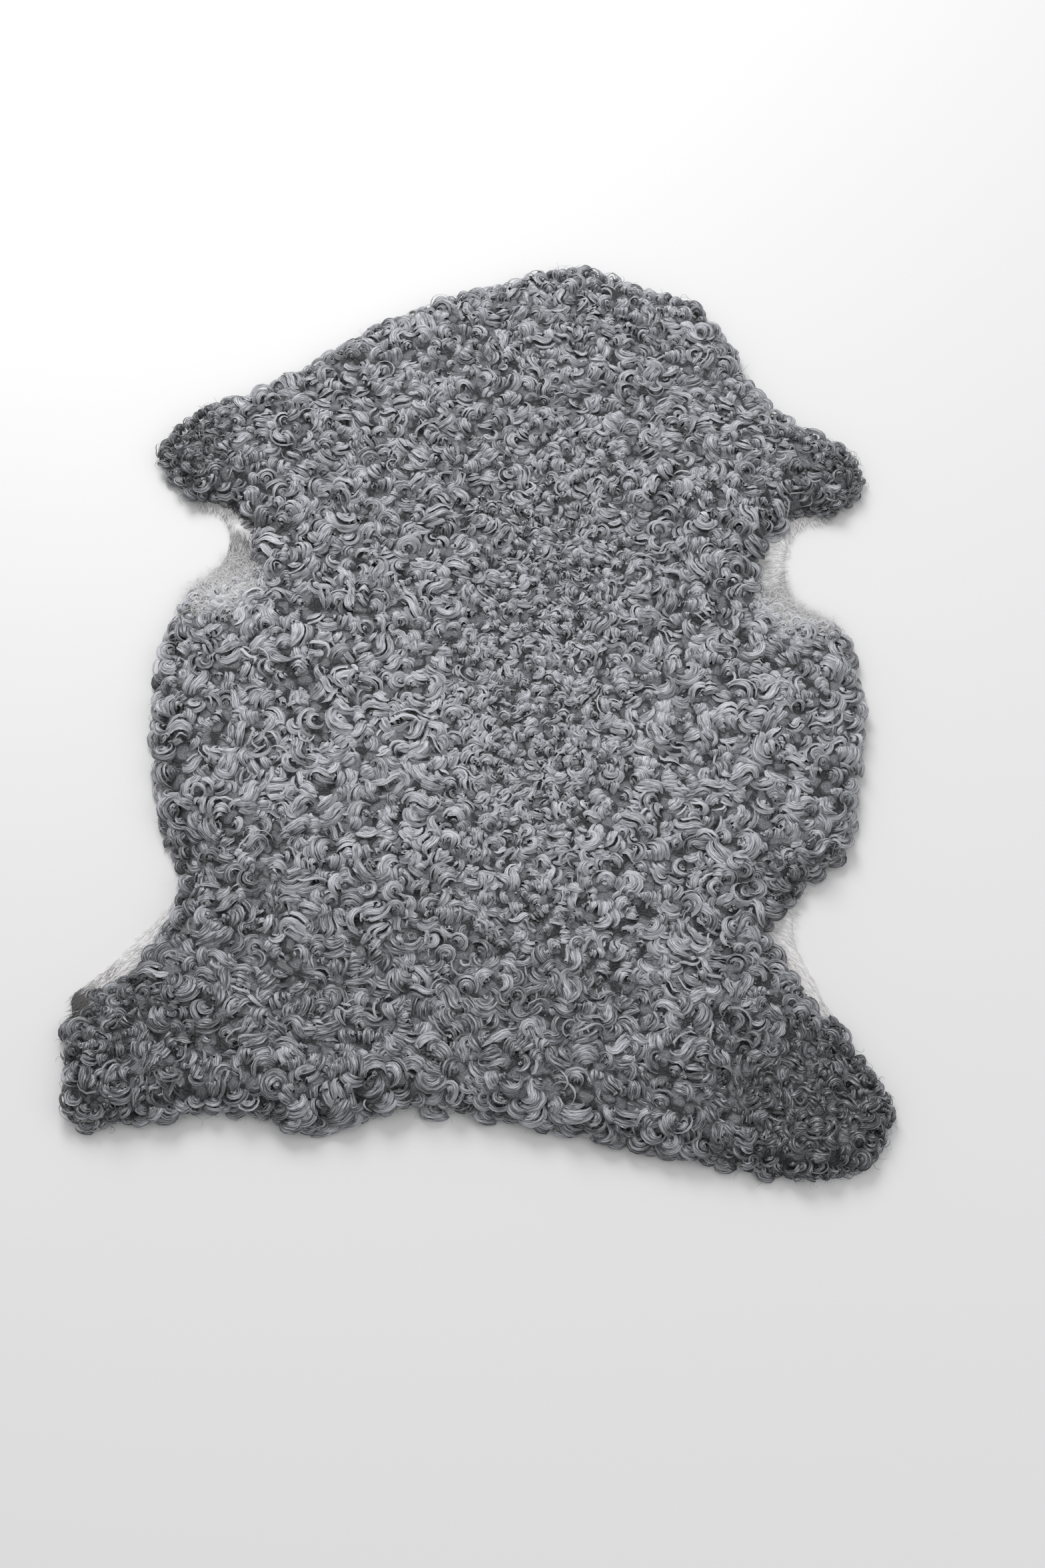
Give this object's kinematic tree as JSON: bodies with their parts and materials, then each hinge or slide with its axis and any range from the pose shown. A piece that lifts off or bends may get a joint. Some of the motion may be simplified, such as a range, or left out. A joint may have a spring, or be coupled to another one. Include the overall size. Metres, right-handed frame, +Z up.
{
  "type": "sheepskin rug",
  "caption": "Flat sheepskin rug in its natural outline, with curly grey wool and bare skin in the bays by the legs.",
  "frame": {"origin": "middle of the rug's box, on the floor that it lies on", "axes": "+Z up, +Y along the spine from the tail to the neck, +X to the right seen from above with the neck away"},
  "size_m": [0.8532, 1.088, 0.0339],
  "materials": {
    "wool": "curly grey fleece, soft sheen",
    "hide": "bare pale skin with short hair, matt"
  },
  "bodies": {
    "root": {"sheepskin": "wool"}
  },
  "joints": []
}
